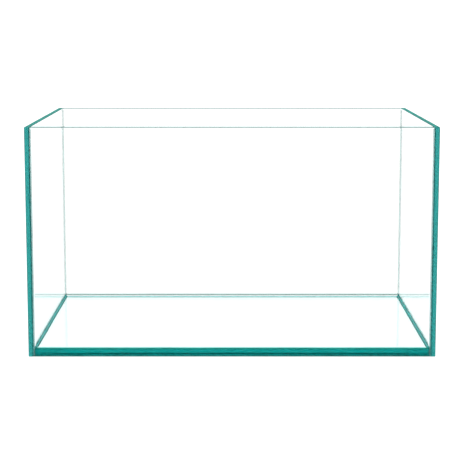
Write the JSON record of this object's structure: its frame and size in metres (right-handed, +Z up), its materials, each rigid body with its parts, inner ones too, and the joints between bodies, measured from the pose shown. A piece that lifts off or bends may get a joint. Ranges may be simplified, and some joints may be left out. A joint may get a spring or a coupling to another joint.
{
  "type": "glass aquarium tank",
  "caption": "Rimless open-top glass aquarium tank, a long box of clear float-glass panes with polished edges, bonded and sealed at every joint with clear silicone.",
  "frame": {"origin": "centre of the base pane's underside, on the surface that the tank stands on", "axes": "+Z up, +X to the right along the long side as seen from the front, +Y from the front pane to the back pane"},
  "size_m": [0.6, 0.35, 0.34],
  "materials": {
    "float_glass": "clear float glass, polished flat edges that look teal along their length",
    "bond_silicone": "clear cured silicone squeezed thin between two panes",
    "bead_silicone": "clear cured silicone, finger-tooled hollow and glossy"
  },
  "bodies": {
    "root": {"base_pane": "float_glass", "front_pane": "float_glass", "back_pane": "float_glass", "left_pane": "float_glass", "right_pane": "float_glass", "base_bond_front": "bond_silicone", "base_bond_back": "bond_silicone", "base_bond_left": "bond_silicone", "base_bond_right": "bond_silicone", "corner_bond_front_left": "bond_silicone", "corner_bond_front_right": "bond_silicone", "corner_bond_back_left": "bond_silicone", "corner_bond_back_right": "bond_silicone", "base_bead_front": "bead_silicone", "base_bead_back": "bead_silicone", "base_bead_left": "bead_silicone", "base_bead_right": "bead_silicone", "corner_bead_front_left": "bead_silicone", "corner_bead_front_right": "bead_silicone", "corner_bead_back_left": "bead_silicone", "corner_bead_back_right": "bead_silicone"}
  },
  "joints": []
}
